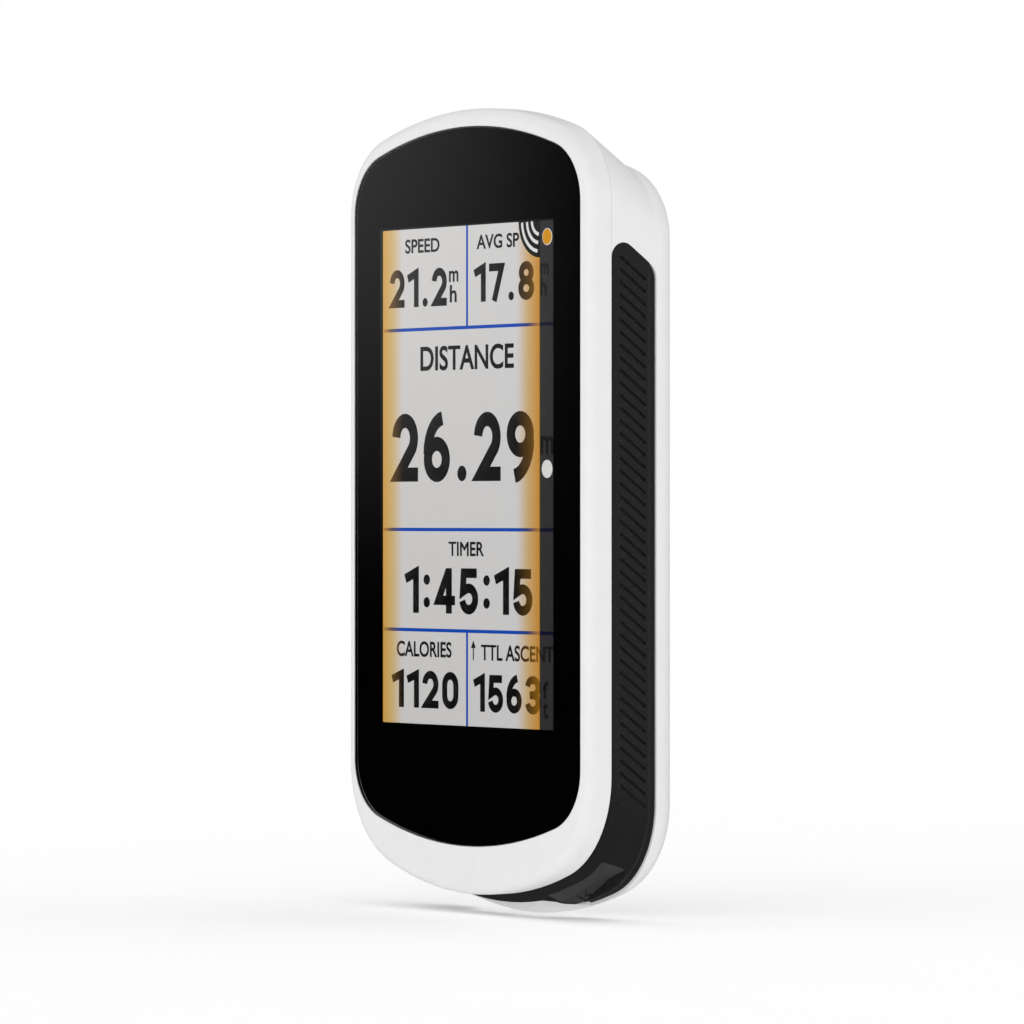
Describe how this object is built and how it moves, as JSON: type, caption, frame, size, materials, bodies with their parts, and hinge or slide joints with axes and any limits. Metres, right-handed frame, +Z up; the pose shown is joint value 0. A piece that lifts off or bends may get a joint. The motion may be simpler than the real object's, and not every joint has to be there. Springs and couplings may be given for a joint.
{
  "type": "cycling computer",
  "caption": "Handlebar cycling computer with a tall glass touchscreen, white shells, black ribbed grip band, corner buttons and a quarter-turn mount on its back.",
  "frame": {"origin": "centre of the quarter-turn mount's outermost end face, on the back of the case", "axes": "+Z up the long side of the display, -Y out of the display towards the rider, +Y out of the mount, +X to the rider's right"},
  "size_m": [0.0558, 0.0193, 0.1063],
  "materials": {
    "shell_white": "satin white polycarbonate, fine moulded texture",
    "grip_rubber": "matt black elastomer, overmoulded",
    "button_black": "satin black moulded plastic",
    "lens_glass": "polished cover glass with black border ink",
    "adhesive": "thin black bonding tape",
    "touch_film": "clear laminated film",
    "panel_glass": "polarised display glass",
    "light_guide": "clear light guide with white reflector",
    "tray_steel": "thin stamped stainless steel",
    "flex_film": "amber polyimide film with copper tracks",
    "board_green": "green solder mask on glass laminate",
    "shield_tin": "tinned steel can",
    "antenna_ceramic": "ceramic-filled antenna carrier",
    "battery_foil": "laminated foil pouch",
    "foam_black": "closed-cell foam",
    "silicone_grey": "moulded silicone",
    "switch_metal": "switch cover of stamped steel",
    "port_steel": "drawn stainless steel port shell",
    "mount_black": "glass-filled black nylon",
    "screw_steel": "blackened stainless steel",
    "contact_gold": "gold plated contact",
    "vent_white": "expanded fluoropolymer membrane"
  },
  "bodies": {
    "case": {"front_shell": "shell_white", "rear_shell": "shell_white", "perimeter_seal": "silicone_grey", "grip_band": "grip_rubber", "cover_lens": "lens_glass", "lens_adhesive": "adhesive", "touch_sensor": "touch_film", "display_panel": "panel_glass", "backlight_unit": "light_guide", "display_frame": "tray_steel", "display_flex": "flex_film", "touch_flex": "flex_film", "main_board": "board_green", "processor_shield": "shield_tin", "radio_shield": "shield_tin", "gnss_antenna": "antenna_ceramic", "radio_antenna": "antenna_ceramic", "beeper": "mount_black", "battery": "battery_foil", "battery_foam": "foam_black", "battery_connector": "button_black", "battery_lead": "flex_film", "board_screws": "screw_steel", "start_stop_seal": "silicone_grey", "lap_seal": "silicone_grey", "power_seal": "silicone_grey", "start_stop_switch": "switch_metal", "lap_switch": "switch_metal", "power_switch": "switch_metal", "usb_receptacle": "port_steel", "usb_gasket": "silicone_grey", "cap_anchor": "grip_rubber", "mount_insert": "mount_black", "mount_screws": "screw_steel", "contact_pads": "contact_gold", "contact_seal": "silicone_grey", "contact_flex": "flex_film", "vent_membrane": "vent_white", "lanyard_bar": "port_steel"},
    "start_stop_button": {"start_stop_button": "button_black"},
    "lap_button": {"lap_button": "button_black"},
    "power_button": {"power_button": "button_black"},
    "weather_cap": {"usb_weather_cap": "grip_rubber"}
  },
  "joints": [
    {"name": "start_stop_press", "type": "slide", "parent": "case", "child": "start_stop_button", "axis": [-0.454, 0, 0.891], "range_m": [0, 0.00035], "stiffness_N_per_m": 8000},
    {"name": "lap_press", "type": "slide", "parent": "case", "child": "lap_button", "axis": [0.454, 0, 0.891], "range_m": [0, 0.00035], "stiffness_N_per_m": 8000},
    {"name": "power_press", "type": "slide", "parent": "case", "child": "power_button", "axis": [1, 0, 0], "range_m": [0, 0.00035], "stiffness_N_per_m": 8000},
    {"name": "weather_cap_hinge", "type": "hinge", "parent": "case", "child": "weather_cap", "pos_m": [0, -0.0041, -0.0353], "axis": [1, 0, 0], "range_deg": [0, 150]}
  ]
}
